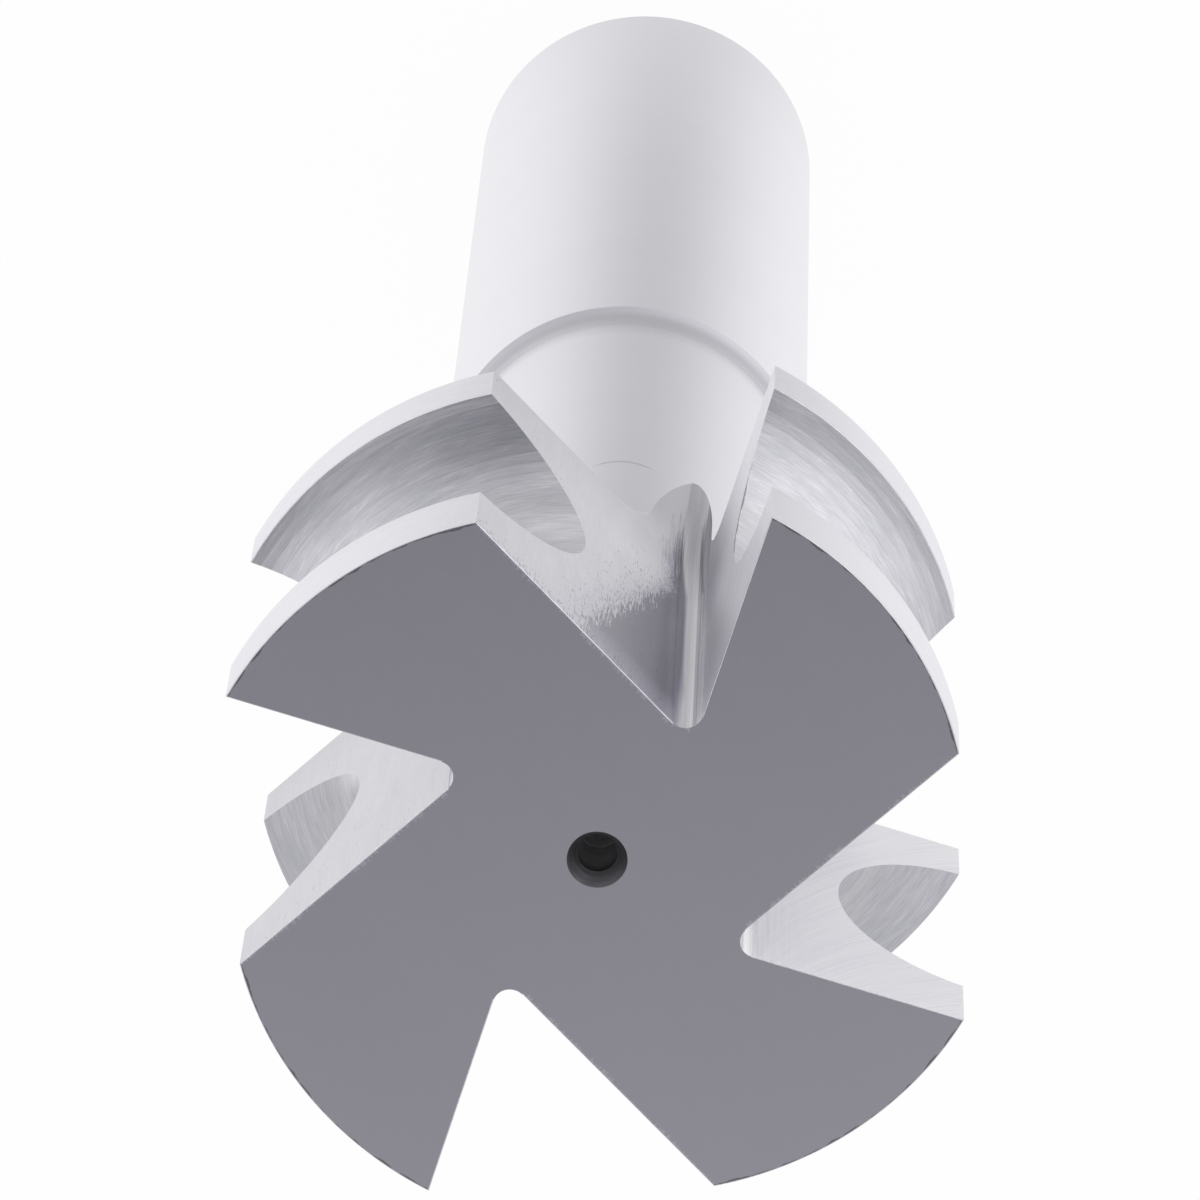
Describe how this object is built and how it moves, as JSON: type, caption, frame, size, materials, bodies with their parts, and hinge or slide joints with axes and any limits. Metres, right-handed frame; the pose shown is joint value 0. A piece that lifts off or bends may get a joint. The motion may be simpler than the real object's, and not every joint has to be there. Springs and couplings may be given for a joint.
{
  "type": "concave milling cutter",
  "caption": "Shank-type concave milling cutter with form-relieved teeth, a half-round groove between their flanges, gullets that run out into the neck, and a plain cylindrical shank.",
  "frame": {"origin": "centre of the flat end of the shank, on the cutter's axis", "axes": "+Z along the cutter's axis, from the shank towards the cutting head. The first cutting edge lies 22.5 degrees from +X towards +Y, so that the back walls of the gullets are parallel to the row's planes"},
  "size_m": [0.039, 0.039, 0.106],
  "materials": {
    "tool_steel": "ground and milled tool steel: satin shank, finely ground faces, frosted gullet walls"
  },
  "bodies": {
    "root": {"concave_cutter": "tool_steel"}
  },
  "joints": []
}
